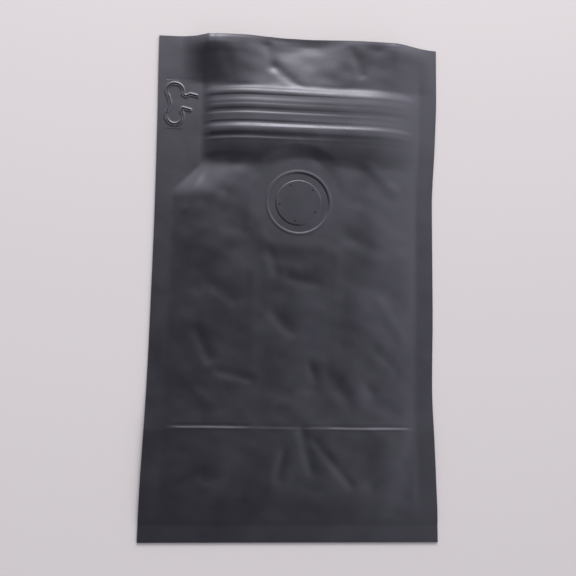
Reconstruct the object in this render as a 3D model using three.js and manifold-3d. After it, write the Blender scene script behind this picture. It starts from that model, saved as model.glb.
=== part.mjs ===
// A flat bottom coffee bag, empty and still open at the mouth, lying on its back.
// Millimetres, +Z up. The mouth points to +Y, and the group puts the origin
// under the middle of the back panel. Inside the group, u is measured from the
// bag's left edge and v from its bottom edge.
import * as THREE from 'three';
import { mergeVertices } from 'three/addons/utils/BufferGeometryUtils.js';
import Module from 'manifold-3d';

const wasm = await Module();
wasm.setup();

// The bag, laid flat
const bagWidth = 115;
const bagLength = 200;
const gussetDepth = 35;
const sideSeal = 7.5;
const bottomSeal = 6.5;
const film = 0.14;
const plyGap = 0.06;

// How high the front panel stands off the plies under it
const pocketRise = 1.2;
const bodyRise = 2.3;
const valveRise = 3.2;
const zipperRise = 4.8;
const bodyShoulder = 26;
const zipperShoulder = 22;
const stackRamp = 1.6;
const foldStart = 0.5;
const foldDrop = 7;

// The wide seal that carries the pull tab, and the press zipper behind the front panel
const tabSeal = 19;
const tabSealRun = 17;
const zipperDrop = 39.3;
const zipperBelow = 10.6;
const zipperAbove = 18.4;
const tapeThickness = 0.16;
const tapeBelow = 5;
const jawHeight = 0.8;
const jawWidth = 0.4;
const ribWidth = 0.5;
const zipperFit = 0.06;
const reliefRamp = 4;
const reliefFade = 9;
const profileRelief = 1.55;

// The pull tab's cut
const tabCut = 0.5;
const tabUpperRadius = 3.4;
const tabLowerRadius = 3.5;
const tabSpacing = 10.2;
const tabCentre = 6.9;
const tabDrop = 28.6;

// The degassing valve, welded under the front panel
const valveOffset = 0.6;
const valveAcross = bagWidth / 2 + valveOffset;
const valveDrop = 68.2;
const valveHeight = 3.6;
const flangeRadius = 12.2;
const flangeThickness = 0.6;
const cupRadius = 9.2;
const cupWall = 0.8;
const floorHeight = 0.8;
const floorThickness = 0.6;
const seatRadius = 6.4;
const seatHeight = 0.25;
const discThickness = 0.5;
const discLift = 0.4;
const capThickness = 0.55;
const filterThickness = 0.4;
const valveFit = 0.1;
const ringEmboss = 0.35;
const valveRelease = 6.3;
const pinholeRadius = 0.3;
const pinholeCircle = 7.6;
const pinholeCount = 5;

// Sizes that follow from the ones above
const ply = film + plyGap;
const foldLine = bottomSeal + gussetDepth;
const gussetFold = sideSeal + gussetDepth;
const zipperLine = bagLength - zipperDrop;
const zipperBase = zipperLine - zipperBelow;
const zipperTop = zipperLine + zipperAbove;
const profileHalf = ribWidth / 2 + zipperFit + jawWidth;
const valveAlong = bagLength - valveDrop;
const valveBottom = film + plyGap;
const flangeTop = valveBottom + valveHeight;
const valveFilm = flangeTop + plyGap + ringEmboss + film / 2;
const patchRadius = flangeRadius + 1;
const valveGrid = 3;
const flatRadius = patchRadius + valveGrid * 1.45;

// Height of a ply's middle surface in the stack, counted from the back panel.
const level = (count) => count * ply + film / 2;

// Straight lines through [place, value] pairs, and the end values beyond them.
function throughPoints(points, place) {
  if (place <= points[0][0]) return points[0][1];
  for (let i = 1; i < points.length; i += 1) {
    const [start, low] = points[i - 1];
    const [end, high] = points[i];
    if (place <= end) return low + (high - low) * (place - start) / (end - start);
  }
  return points[points.length - 1][1];
}

const smooth = (place, from, to) => THREE.MathUtils.smoothstep(place, from, to);

// Four more plies lie between the panels where the bottom is folded in: 0 to 1.
const stackPoints = [
  [bottomSeal, 0],
  [bottomSeal + stackRamp, 1],
  [foldLine + foldStart, 1],
  [foldLine + foldStart + foldDrop, 0],
];
const foldedIn = (v) => throughPoints(stackPoints, v);

// Embossed section of the zipper zone: distance above the zipper's line, and height.
const reliefPoints = [
  [-zipperBelow, 0],
  [-8.6, 0.62],
  [-5.6, 0.7],
  [-3.3, 0.6],
  [-profileHalf - 0.2, profileRelief],
  [profileHalf + 0.2, profileRelief],
  [2.6, 0.85],
  [3.6, 1.05],
  [6.8, 1.05],
  [8.1, 0.8],
  [10.6, 1.15],
  [12, 1.1],
  [14.2, 0.7],
  [15.7, 0.85],
  [zipperAbove, 0],
];
const relief = (v) => throughPoints(reliefPoints, v - zipperLine);

// Height of the wavy mouth across the width, as shares of the width, and how it
// grows along the last stretch of the bag before the lip rolls over.
const mouthPoints = [
  [0, 0],
  [0.07, 0.4],
  [0.12, 1.6],
  [0.175, 4.2],
  [0.26, 5.5],
  [0.33, 5.5],
  [0.4, 3.6],
  [0.46, 2.9],
  [0.53, 3.0],
  [0.6, 3.9],
  [0.67, 5.1],
  [0.74, 5.5],
  [0.84, 5.6],
  [0.91, 3.0],
  [0.955, 1.0],
  [1, 0],
];
const mouthRun = [
  [20, 0],
  [16, 0.16],
  [12, 0.38],
  [8, 0.64],
  [5, 0.86],
  [2.5, 0.93],
  [0, 0.84],
];
const lipPoints = mouthRun.map(([before, share]) => [bagLength - before, share]);
const opened = (v) => throughPoints(lipPoints, v);
const mouthLift = (u, v) => throughPoints(mouthPoints, u / bagWidth) * opened(v);

// Left limit of the pillowed area: the side seal, and the wide seal by the tab.
const tabSealStart = zipperBase - tabSealRun;
const sealLeft = (v) => sideSeal + (tabSeal - sideSeal) * smooth(v, tabSealStart, zipperBase - 1);
const sealRight = bagWidth - sideSeal;
const inset = (u, v) => Math.min(u - sealLeft(v), sealRight - u);

// Share of the zipper's relief: it ends short at the wide seal and fades to the right.
function embossed(u, v) {
  const share = Math.min((u - sealLeft(v)) / reliefRamp, (sealRight - u) / reliefFade);
  return THREE.MathUtils.clamp(share, 0, 1);
}

// How high the front panel is pillowed along the bag.
const risePoints = [
  [bottomSeal, 0],
  [bottomSeal + 12, pocketRise],
  [foldLine + 1, pocketRise],
  [valveAlong - 37, bodyRise],
  [valveAlong - 12, valveRise],
  [zipperBase - 5, zipperRise],
];

// Share of the full rise at a place: none at the seals, and all of it beyond the
// shoulder, which is narrower by the zipper.
function pillowed(u, v) {
  const nearZipper = smooth(v, zipperBase - 40, zipperBase - 5);
  const shoulder = THREE.MathUtils.lerp(bodyShoulder, zipperShoulder, nearZipper);
  const share = THREE.MathUtils.clamp(inset(u, v) / shoulder, 0, 1);
  return share * (2 - share);
}

// Middle surface of the front panel.
function frontHeight(u, v) {
  const puff = throughPoints(risePoints, v) * pillowed(u, v) * (1 - Math.min(1, opened(v)));
  const emboss = relief(v) * embossed(u, v);
  const open = level(3) + 4 * ply * foldedIn(v) + puff + emboss + mouthLift(u, v);
  const reach = Math.hypot(u - valveAcross, v - valveAlong);
  const held = 1 - smooth(reach, flatRadius, flatRadius + valveRelease);
  return THREE.MathUtils.lerp(open, valveFilm, held);
}

// Places of grid lines: a list of fixed ones and an even run between two limits.
function evenly(from, to, pitch) {
  const count = Math.max(1, Math.round((to - from) / pitch));
  return Array.from({ length: count + 1 }, (_, i) => from + (to - from) * i / count);
}

function sortedLines(...groups) {
  const places = groups.flat().sort((a, b) => a - b);
  return places.filter((place, i) => i === 0 || place - places[i - 1] > 0.25);
}

const sealColumns = [0, sideSeal / 2, sideSeal, (sideSeal + tabSeal) / 2, tabSeal];
const frontColumns = sortedLines(
  sealColumns,
  [tabSeal + reliefRamp, sealRight - reliefFade / 2, sealRight, bagWidth - sideSeal / 2, bagWidth],
  evenly(tabSeal + 5, valveAcross - patchRadius - 3.5, 5),
  evenly(valveAcross - patchRadius - 1, valveAcross + patchRadius + 1, valveGrid),
  evenly(valveAcross + patchRadius + 3.5, sealRight - reliefFade, 6),
);
const stackRows = [...stackPoints.map(([place]) => place), foldLine + foldStart + foldDrop / 2];
const mouthRows = lipPoints.map(([place]) => place);
const frontRows = sortedLines(
  [0, bottomSeal / 2],
  stackRows,
  evenly(bottomSeal + 7, foldLine - 4, 7),
  evenly(foldLine + foldDrop + 7, valveAlong - patchRadius - 6, 9),
  evenly(valveAlong - patchRadius - 1, valveAlong + patchRadius + 1, valveGrid),
  [zipperBase - 5, zipperBase - 1],
  reliefPoints.map(([place]) => zipperLine + place),
  mouthRows,
);

// Sheet of film about a grid of middle points. The faces lie half a thickness to
// each side, along the sheet's own normal, so it may be curved or folded. A turned
// sheet splits its cells along the other diagonal.
function filmSheet(columns, rows, middleAt, turned = false) {
  const middles = rows.map((row) => columns.map((column) => middleAt(column, row)));
  const unitStep = (from, to) => to.clone().sub(from).normalize();
  const slope = (list, i) => {
    const before = list[Math.max(i - 1, 0)];
    const after = list[Math.min(i + 1, list.length - 1)];
    const sum = new THREE.Vector3();
    if (before !== list[i]) sum.add(unitStep(before, list[i]));
    if (after !== list[i]) sum.add(unitStep(list[i], after));
    return sum;
  };
  const upper = [];
  const lower = [];
  middles.forEach((line, r) => {
    line.forEach((middle, c) => {
      const across = slope(line, c);
      const lengthwise = slope(middles.map((other) => other[c]), r);
      const half = across.cross(lengthwise).setLength(film / 2);
      upper.push(middle.clone().add(half));
      lower.push(middle.clone().sub(half));
    });
  });
  const width = columns.length;
  const under = upper.length;
  const triangles = [];
  const quad = (a, b, c, d) => triangles.push(a, b, c, a, c, d);
  for (let r = 0; r < rows.length - 1; r += 1) {
    for (let c = 0; c < width - 1; c += 1) {
      const a = r * width + c;
      const ring = [a, a + 1, a + 1 + width, a + width];
      if (turned) ring.push(ring.shift());
      quad(...ring);
      quad(...[ring[0], ring[3], ring[2], ring[1]].map((corner) => under + corner));
    }
  }
  const rim = [];
  for (let c = 0; c < width - 1; c += 1) rim.push(c);
  for (let r = 0; r < rows.length - 1; r += 1) rim.push(r * width + width - 1);
  for (let c = width - 1; c > 0; c -= 1) rim.push((rows.length - 1) * width + c);
  for (let r = rows.length - 1; r > 0; r -= 1) rim.push(r * width);
  rim.forEach((a, i) => {
    const b = rim[(i + 1) % rim.length];
    quad(under + a, under + b, b, a);
  });
  return indexedGeometry(upper.concat(lower), triangles);
}

function indexedGeometry(points, triangles) {
  const geometry = new THREE.BufferGeometry();
  const numbers = points.flatMap((point) => [point.x, point.y, point.z]);
  geometry.setAttribute('position', new THREE.Float32BufferAttribute(numbers, 3));
  geometry.setIndex(triangles);
  return geometry;
}

// Closed body: a section of [v, height] pairs, counter-clockwise when seen from the
// right, carried along the stations across the width.
function sweptAcross(section, stations, liftAt) {
  const points = stations.flatMap((u) => (
    section.map(([v, height]) => new THREE.Vector3(u, v, height + liftAt(u)))
  ));
  const size = section.length;
  const last = (stations.length - 1) * size;
  const triangles = [];
  for (let s = 0; s < stations.length - 1; s += 1) {
    for (let i = 0; i < size; i += 1) {
      const a = s * size + i;
      const b = s * size + (i + 1) % size;
      triangles.push(a, b, b + size, a, b + size, a + size);
    }
  }
  const contour = section.map(([v, height]) => new THREE.Vector2(v, height));
  for (const [a, b, c] of THREE.ShapeUtils.triangulateShape(contour, [])) {
    triangles.push(a, c, b, last + a, last + b, last + c);
  }
  return indexedGeometry(points, triangles);
}

// Boolean work
function toManifold(geometry) {
  const bare = geometry.clone();
  bare.deleteAttribute('normal');
  bare.deleteAttribute('uv');
  const merged = mergeVertices(bare, 1e-5);
  const vertProperties = Float32Array.from(merged.attributes.position.array);
  const triVerts = Uint32Array.from(merged.index.array);
  return new wasm.Manifold(new wasm.Mesh({ numProp: 3, vertProperties, triVerts }));
}

function fromManifold(solid) {
  const mesh = solid.getMesh();
  const geometry = new THREE.BufferGeometry();
  geometry.setAttribute('position', new THREE.Float32BufferAttribute(mesh.vertProperties, 3));
  geometry.setIndex(Array.from(mesh.triVerts));
  return geometry;
}

function joined(geometries) {
  return fromManifold(wasm.Manifold.union(geometries.map(toManifold)));
}

function cutFrom(geometry, cutters) {
  const tools = wasm.Manifold.union(cutters.map(toManifold));
  return fromManifold(toManifold(geometry).subtract(tools));
}

function lathed(profile, segments) {
  const points = profile.map(([radius, height]) => new THREE.Vector2(radius, height));
  const geometry = new THREE.LatheGeometry(points, segments);
  geometry.rotateX(Math.PI / 2);
  return geometry;
}

function cylinder(radius, bottom, top, segments) {
  const geometry = new THREE.CylinderGeometry(radius, radius, top - bottom, segments);
  geometry.rotateX(Math.PI / 2);
  geometry.translate(0, 0, (bottom + top) / 2);
  return geometry;
}

// Flat piece of film from its outline, with its middle at the given height.
function filmPlate(outline, height) {
  const shape = new THREE.Shape(outline.map(([u, v]) => new THREE.Vector2(u, v)));
  const geometry = new THREE.ExtrudeGeometry(shape, { depth: film, bevelEnabled: false });
  geometry.translate(0, 0, height - film / 2);
  return geometry;
}

// The collapsed bag's sides are drawn in along its middle, and flare a little at
// the lower left and the upper right: share of the length, and how far in.
const leftPull = [
  [0, -0.5],
  [0.1, -0.25],
  [0.25, 0.6],
  [0.38, 1],
  [0.6, 1.2],
  [0.8, 0.9],
  [1, 0.3],
];
const rightPull = [
  [0, 0],
  [0.13, 0.8],
  [0.3, 1.9],
  [0.45, 1.5],
  [0.66, 1.6],
  [0.8, 0.2],
  [0.9, -0.5],
  [1, -0.5],
];

function drawnIn(geometry) {
  const position = geometry.attributes.position;
  for (let i = 0; i < position.count; i += 1) {
    const u = position.getX(i);
    const share = 2 * u / bagWidth - 1;
    const along = position.getY(i) / bagLength;
    const pull = share < 0 ? throughPoints(leftPull, along) : -throughPoints(rightPull, along);
    position.setX(i, u + pull * share * share);
  }
  return geometry;
}

// Film over the valve: an inner disc, the groove of the ring weld and the rim
// that meets the panel, as one closed section.
function valvePatch() {
  const outline = [
    [cupRadius - 0.3, 0],
    [cupRadius + 0.2, -ringEmboss],
    [flangeRadius - 0.4, -ringEmboss],
    [flangeRadius + 0.1, 0],
    [patchRadius + 0.15, 0],
  ];
  const under = [[0, -film / 2], ...outline.map(([r, h]) => [r, h - film / 2])];
  const over = [...outline.map(([r, h]) => [r, h + film / 2]).reverse(), [0, film / 2]];
  const geometry = lathed([...under, ...over], 48);
  geometry.translate(valveAcross, valveAlong, valveFilm);
  return geometry;
}

function pinholes() {
  return Array.from({ length: pinholeCount }, (_, i) => {
    const angle = THREE.MathUtils.degToRad(43 + 360 * i / pinholeCount);
    const hole = cylinder(pinholeRadius, valveFilm - film, valveFilm + film, 10);
    const across = valveAcross + pinholeCircle * Math.cos(angle);
    const along = valveAlong + pinholeCircle * Math.sin(angle);
    hole.translate(across, along, 0);
    return hole;
  });
}

// Cut line round the pull tab: two lobes and a neck that stays joined to the band.
// It goes through the front panel and the gusset leaf that is sealed to it.
function tabOutline() {
  const middle = bagLength - tabDrop;
  const upper = middle + tabSpacing / 2;
  const lower = middle - tabSpacing / 2;
  const reach = tabCentre + tabUpperRadius;
  const path = new THREE.Path();
  path.moveTo(reach + 6, upper - 1.6);
  path.lineTo(reach + 3, upper - 0.9);
  path.lineTo(reach + 1, upper - 1.9);
  path.absarc(tabCentre, upper, tabUpperRadius, -0.3, Math.PI * 1.22, false);
  path.quadraticCurveTo(tabCentre - 1.2, middle, tabCentre - 2.6, lower + 2.6);
  path.absarc(tabCentre, lower, tabLowerRadius, Math.PI * 0.76, Math.PI * 2.2, false);
  path.lineTo(reach, lower + 3.4);
  path.lineTo(reach + 3, lower + 2.7);
  return path.getSpacedPoints(44);
}

function tabCutter(height) {
  const points = tabOutline().map((point) => new THREE.Vector3(point.x, point.y, height));
  const section = new THREE.Shape();
  section.absarc(0, 0, tabCut / 2, 0, Math.PI * 2);
  const route = new THREE.CatmullRomCurve3(points);
  return new THREE.ExtrudeGeometry(section, { steps: 88, curveSegments: 3, extrudePath: route });
}

function frontPanel() {
  const sheet = filmSheet(frontColumns, frontRows, (u, v) => (
    new THREE.Vector3(u, v, frontHeight(u, v))
  ));
  const opening = cylinder(patchRadius, valveFilm - 1, valveFilm + 1, 48);
  opening.translate(valveAcross, valveAlong, 0);
  const panel = joined([cutFrom(sheet, [opening]), valvePatch()]);
  return drawnIn(cutFrom(panel, [...pinholes(), tabCutter(level(3))]));
}

function backPanel() {
  const rows = evenly(0, bagLength, 10);
  return drawnIn(filmSheet([0, bagWidth / 2, bagWidth], rows, (u, v) => (
    new THREE.Vector3(u, v, level(0))
  )));
}

// Height of a side gusset's front leaf. It keeps to the front panel inside the seals
// and springs to half the panel's height where the mouth stands open.
function leafHeight(u, v) {
  const share = 1 - 0.5 * THREE.MathUtils.clamp(inset(u, v) / 8, 0, 1);
  return level(2) + 4 * ply * foldedIn(v) + mouthLift(u, v) * share;
}

// Upper part of a side gusset: back leaf, inner fold and front leaf in one sheet.
function gussetSheet(toBag) {
  const leafColumns = [...sealColumns, tabSeal + 4, tabSeal + 8, gussetFold - 8, gussetFold - 3];
  const columns = [
    ...leafColumns.filter((u, i) => i % 2 === 0).map((u) => ({ leaf: 'back', u })),
    ...[-90, -54, -18, 18, 54, 90].map((angle) => ({ leaf: 'fold', angle })),
    ...leafColumns.map((u) => ({ leaf: 'front', u })).reverse(),
  ];
  const rows = sortedLines(
    [foldLine + film + plyGap, ...stackRows.slice(2)],
    evenly(foldLine + foldDrop + 14, zipperBase - 10, 26),
    [zipperBase - 5, zipperBase - 1, zipperTop],
    mouthRows,
  );
  const middleAt = (column, v) => {
    if (column.leaf === 'back') return new THREE.Vector3(toBag(column.u), v, level(1));
    if (column.leaf === 'front') {
      return new THREE.Vector3(toBag(column.u), v, leafHeight(toBag(column.u), v));
    }
    const top = leafHeight(toBag(gussetFold - 2), v);
    const radius = (top - level(1)) / 2;
    const angle = THREE.MathUtils.degToRad(column.angle);
    const u = gussetFold - radius + radius * Math.cos(angle);
    return new THREE.Vector3(toBag(u), v, level(1) + radius * (1 + Math.sin(angle)));
  };
  return { columns, rows, middleAt };
}

// Round fold between two plies, from one point of the sheet to another.
function foldRod(from, to, lowPly) {
  const height = (level(lowPly) + level(lowPly + 1)) / 2;
  const start = new THREE.Vector3(from[0], from[1], height);
  const end = new THREE.Vector3(to[0], to[1], height);
  const direction = end.clone().sub(start);
  const radius = (ply + film) / 2;
  const geometry = new THREE.CylinderGeometry(radius, radius, direction.length(), 8);
  const turn = new THREE.Quaternion();
  turn.setFromUnitVectors(new THREE.Vector3(0, 1, 0), direction.clone().normalize());
  geometry.applyQuaternion(turn);
  geometry.translate(...start.add(end).multiplyScalar(0.5).toArray());
  return geometry;
}

// Open fold of the tuck over the folded edge of the bottom, as a section.
function tuckFoldSection() {
  const middle = (level(2) + level(5)) / 2;
  const radius = (level(5) - level(2)) / 2;
  const arc = (distance, from, to) => [-1, -0.6, -0.2, 0.2, 0.6, 1].map((share) => {
    const angle = (from + to) / 2 + (to - from) / 2 * share;
    return [foldLine + distance * Math.cos(angle), middle + distance * Math.sin(angle)];
  });
  const outer = arc(radius + film / 2, -Math.PI / 2, Math.PI / 2);
  const inner = arc(radius - film / 2, Math.PI / 2, -Math.PI / 2);
  return [
    [foldLine - 1, level(2) - film / 2],
    ...outer,
    [foldLine - 1, level(5) + film / 2],
    [foldLine - 1, level(5) - film / 2],
    ...inner,
    [foldLine - 1, level(2) + film / 2],
  ];
}

// A side gusset, with the triangular tucks that join it to the folded-in bottom.
function sideGusset(isLeft) {
  const toBag = (u) => (isLeft ? u : bagWidth - u);
  const { columns, rows, middleAt } = gussetSheet(toBag);
  const sheet = filmSheet(isLeft ? columns : columns.reverse(), rows, middleAt, true);
  const start = bottomSeal + stackRamp;
  const corner = sideSeal + stackRamp;
  const mirror = ([u, v]) => [toBag(u), v];
  const tuck = [[0, start], [corner, start], [gussetFold, foldLine], [0, foldLine]];
  const leaf = [...tuck.slice(0, 3), [gussetFold - 0.6, foldLine + 0.4], [0, foldLine + 0.4]];
  const plates = [1, 6].map((count) => filmPlate(leaf.map(mirror), level(count)));
  const tucks = [2, 5].map((count) => filmPlate(tuck.map(mirror), level(count)));
  const rods = [1, 5].map((count) => (
    foldRod(mirror([corner, start]), mirror([gussetFold, foldLine]), count)
  ));
  const stations = [toBag(0), toBag(gussetFold - 0.6)].sort((a, b) => a - b);
  const fold = sweptAcross(tuckFoldSection(), stations, () => 0);
  const gusset = joined([sheet, ...plates, ...tucks, ...rods, fold]);
  return drawnIn(isLeft ? cutFrom(gusset, [tabCutter(level(2))]) : gusset);
}

// The folded-in bottom: one sheet, doubled at its inner fold, whose ends come
// together with the front and back panels in the bottom seals.
function bottomGusset() {
  const radius = ply / 2;
  const centre = (level(3) + level(4)) / 2;
  const arc = [-90, -45, 0, 45, 90].map((degrees) => {
    const angle = THREE.MathUtils.degToRad(degrees);
    return [foldLine + radius * Math.cos(angle), centre + radius * Math.sin(angle)];
  });
  const line = [
    [0, level(1)],
    [bottomSeal, level(1)],
    [bottomSeal + stackRamp, level(3)],
    ...arc,
    [bottomSeal + stackRamp, level(4)],
    [bottomSeal, level(2)],
    [0, level(2)],
  ];
  return drawnIn(filmSheet(line, evenly(0, bagWidth, bagWidth / 2).reverse(), ([v, height], u) => (
    new THREE.Vector3(u, v, height)
  )));
}

// Press zipper. Both strips hang under the front panel and follow its arch.
const zipperStart = tabSeal + reliefRamp + 0.2;
const zipperEnd = sealRight - reliefFade - 0.2;
const between = frontColumns.filter((u) => u > zipperStart + 0.2 && u < zipperEnd - 0.2);
const zipperStations = [zipperStart, ...between, zipperEnd];

const zipperArch = (u) => level(3) + zipperRise * pillowed(u, zipperLine);

const underFilm = (v) => relief(v) - film / 2 - plyGap;
const jawTop = underFilm(zipperLine) - tapeThickness;
const lowTapeTop = jawTop - jawHeight - zipperFit;

// Tape between two places, with its upper face at the given heights.
function tape(from, to, topAt) {
  const inside = reliefPoints.map(([place]) => zipperLine + place);
  const places = [from, ...inside.filter((v) => v > from + 0.2 && v < to - 0.2), to];
  const top = places.map((v) => [v, topAt(v)]);
  const bottom = places.map((v) => [v, topAt(v) - tapeThickness]);
  return sweptAcross([...bottom, ...top.reverse()], zipperStations, zipperArch);
}

function bar(middle, width, bottom, top) {
  const low = middle - width / 2;
  const high = middle + width / 2;
  const section = [[low, bottom], [high, bottom], [high, top], [low, top]];
  return sweptAcross(section, zipperStations, zipperArch);
}

function zipperLowerStrip() {
  const offset = profileHalf - jawWidth / 2;
  const jaws = [-offset, offset].map((shift) => (
    bar(zipperLine + shift, jawWidth, jawTop - jawHeight, jawTop + tapeThickness / 2)
  ));
  return drawnIn(joined([tape(zipperLine - tapeBelow, zipperLine + 2, underFilm), ...jaws]));
}

function zipperUpperStrip() {
  const topAt = (v) => throughPoints([
    [zipperLine + 3, lowTapeTop],
    [zipperLine + 6, underFilm(zipperLine + 6)],
  ], v);
  const hung = tape(zipperLine + 6, zipperTop - 1, underFilm);
  const dropped = tape(zipperLine - 2.4, zipperLine + 6.05, topAt);
  const ribTop = jawTop - zipperFit;
  const rib = bar(zipperLine, ribWidth, lowTapeTop - tapeThickness / 2, ribTop);
  return drawnIn(joined([hung, dropped, rib]));
}

// Degassing valve, built about its own axis with z measured from its underside.
const seatTop = floorHeight + floorThickness + seatHeight;
const discTop = seatTop + valveFit + discThickness;
const capBottom = discTop + discLift + valveFit;
const capTop = capBottom + capThickness;
const boreRadius = cupRadius - cupWall;

function placedValve(geometry) {
  geometry.translate(valveAcross, valveAlong, valveBottom);
  return geometry;
}

function holesOnCircle(circle, radius, count, bottom, top) {
  return Array.from({ length: count }, (_, i) => {
    const angle = 2 * Math.PI * i / count;
    const hole = cylinder(radius, bottom, top, 12);
    hole.translate(circle * Math.cos(angle), circle * Math.sin(angle), 0);
    return hole;
  });
}

function valveBody() {
  const floorTop = floorHeight + floorThickness;
  const ledge = boreRadius - 0.5;
  const profile = [
    [0, floorHeight],
    [boreRadius, floorHeight],
    [boreRadius, 0],
    [cupRadius, 0],
    [cupRadius, valveHeight - flangeThickness],
    [flangeRadius, valveHeight - flangeThickness],
    [flangeRadius, valveHeight],
    [boreRadius, valveHeight],
    [boreRadius, capBottom - valveFit],
    [ledge, capBottom - valveFit],
    [ledge, floorTop],
    [seatRadius, floorTop],
    [seatRadius, seatTop],
    [seatRadius - 1, seatTop],
    [seatRadius - 1, floorTop],
    [0, floorTop],
  ];
  const ports = holesOnCircle(seatRadius / 2, 0.8, 6, floorHeight - 1, floorTop + 1);
  return placedValve(cutFrom(lathed(profile, 36), ports));
}

function valveDisc() {
  return placedValve(cylinder(seatRadius + 0.6, seatTop + valveFit, discTop, 36));
}

function valveCap() {
  const radius = boreRadius - valveFit;
  const plate = cylinder(radius, capBottom, capTop, 36);
  const vents = holesOnCircle(radius * 0.6, 0.9, 4, capBottom - 1, capTop + 1);
  return placedValve(cutFrom(plate, vents));
}

function valveFilter() {
  const top = floorHeight - valveFit;
  return placedValve(cylinder(boreRadius - valveFit, top - filterThickness, top, 36));
}

// Materials
function finish(color, roughness) {
  return new THREE.MeshStandardMaterial({ color, roughness, metalness: 0 });
}

function named(name, geometry, material) {
  const mesh = new THREE.Mesh(geometry, material);
  mesh.name = name;
  return mesh;
}

const blackFilm = () => finish(0x2a292e, 0.55);
const bag = new THREE.Group();
bag.position.set(-bagWidth / 2, -bagLength / 2, 0);
bag.add(named('back_panel', backPanel(), blackFilm()));
bag.add(named('front_panel', frontPanel(), blackFilm()));
bag.add(named('left_gusset', sideGusset(true), blackFilm()));
bag.add(named('right_gusset', sideGusset(false), blackFilm()));
bag.add(named('bottom_gusset', bottomGusset(), blackFilm()));
bag.add(named('zipper_lower_strip', zipperLowerStrip(), finish(0xd8d8d4, 0.4)));
bag.add(named('zipper_upper_strip', zipperUpperStrip(), finish(0xd8d8d4, 0.4)));
bag.add(named('valve_body', valveBody(), finish(0x2c2c2e, 0.45)));
bag.add(named('valve_disc', valveDisc(), finish(0x8a5a3c, 0.6)));
bag.add(named('valve_cap', valveCap(), finish(0x2c2c2e, 0.45)));
bag.add(named('valve_filter', valveFilter(), finish(0xf0ece2, 0.9)));

export default bag;
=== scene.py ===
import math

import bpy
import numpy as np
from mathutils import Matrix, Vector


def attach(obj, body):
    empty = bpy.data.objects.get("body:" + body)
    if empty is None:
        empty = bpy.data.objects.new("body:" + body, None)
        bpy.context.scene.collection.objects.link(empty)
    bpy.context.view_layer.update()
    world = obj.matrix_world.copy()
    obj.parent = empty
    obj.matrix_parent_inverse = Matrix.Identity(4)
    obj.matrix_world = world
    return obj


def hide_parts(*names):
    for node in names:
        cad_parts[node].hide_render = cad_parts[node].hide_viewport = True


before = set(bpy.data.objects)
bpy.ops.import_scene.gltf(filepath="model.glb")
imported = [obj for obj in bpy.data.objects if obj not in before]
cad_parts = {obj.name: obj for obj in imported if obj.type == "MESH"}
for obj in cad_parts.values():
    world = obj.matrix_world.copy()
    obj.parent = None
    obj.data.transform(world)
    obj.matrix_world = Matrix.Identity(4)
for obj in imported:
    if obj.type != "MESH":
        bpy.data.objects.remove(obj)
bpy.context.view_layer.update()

# %% [markdown]
# An empty flat bottom coffee bag is five sheets of laminate pressed flat: front,
# back, two gussets folded inwards and a bottom folded up between them. A cloth
# simulation could flatten a box, but its folds would fall where they like. Here
# each sheet is a fine grid whose height is a plain function of its place, so
# that each fold lies where the photo shows it. The first cells set the sizes.

MM = 0.001
BAG_WIDTH, BAG_LENGTH = 115.0, 200.0
GUSSET_DEPTH, SIDE_SEAL, BOTTOM_SEAL, TAB_SEAL = 35.0, 7.5, 6.5, 19.0
FILM, PLY_GAP = 0.14, 0.06
PLY = FILM + PLY_GAP
FOLD_LINE = BOTTOM_SEAL + GUSSET_DEPTH
GUSSET_FOLD = SIDE_SEAL + GUSSET_DEPTH
SEAL_RIGHT = BAG_WIDTH - SIDE_SEAL

# %% Zipper and valve
ZIPPER_LINE = BAG_LENGTH - 39.3
ZIPPER_BASE, ZIPPER_TOP = ZIPPER_LINE - 10.6, ZIPPER_LINE + 18.4
VALVE = (58.1, BAG_LENGTH - 68.2)
VALVE_FILM = 4.28
FLANGE_RADIUS, CUP_RADIUS = 12.2, 9.2
FLAT_RADIUS, VALVE_RELEASE = 17.55, 6.3
print("zipper from", ZIPPER_BASE, "to", ZIPPER_TOP, "mm, valve at", VALVE)

# %% [markdown]
# Film bends in smooth curves and lies in plies. Three small helpers say that:
# the height of a ply, a smooth step, and a smooth curve through a few points.
# The curve never swings past its points, as a plain spline would, so a flat
# stretch of film stays flat.

# %% Plies, steps and curves
def level(count):
    """Middle height of a ply, counted from the table."""
    return count * PLY + FILM / 2


def smooth(place, low, high):
    t = np.clip((place - low) / (high - low), 0, 1)
    return t * t * (3 - 2 * t)


def through(points, place):
    """Smooth curve through [place, value] points that never overshoots them."""
    x = np.array([p[0] for p in points], float)
    y = np.array([p[1] for p in points], float)
    rise = np.diff(y) / np.diff(x)
    product, total = rise[1:] * rise[:-1], rise[1:] + rise[:-1]
    inner = np.where(product > 0, 2 * product / (total + 1e-12), 0)
    slope = np.concatenate([[0.0], inner, [0.0]])
    place = np.clip(place, x[0], x[-1])
    i = np.clip(np.searchsorted(x, place, side="right") - 1, 0, len(x) - 2)
    step = x[i + 1] - x[i]
    t = (place - x[i]) / step
    return (y[i] * (1 + 2 * t) * (1 - t) ** 2 + y[i + 1] * t * t * (3 - 2 * t)
            + step * (slope[i] * t * (1 - t) ** 2 - slope[i + 1] * t * t * (1 - t)))


def bag_point(u, v, height):
    """Place in the scene, in metres, of a point in the bag's own millimetres."""
    return ((u - BAG_WIDTH / 2) * MM, (v - BAG_LENGTH / 2) * MM, height * MM)


print("plies at", [round(level(count), 2) for count in range(8)], "mm")

# %% [markdown]
# The camera looks down on the bag from close by. Its place was solved from the
# four corners of the bag in the photo: two tilts, a small roll and a distance.

# %% Camera
FOCAL_PIXELS, PICTURE, SENSOR = 728.0, 576.0, 36
TILT_X, TILT_Y, ROLL = -6.83, -5.06, 1.64
OFFSET = Vector((2.7, -2.0, 290.6))


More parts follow.
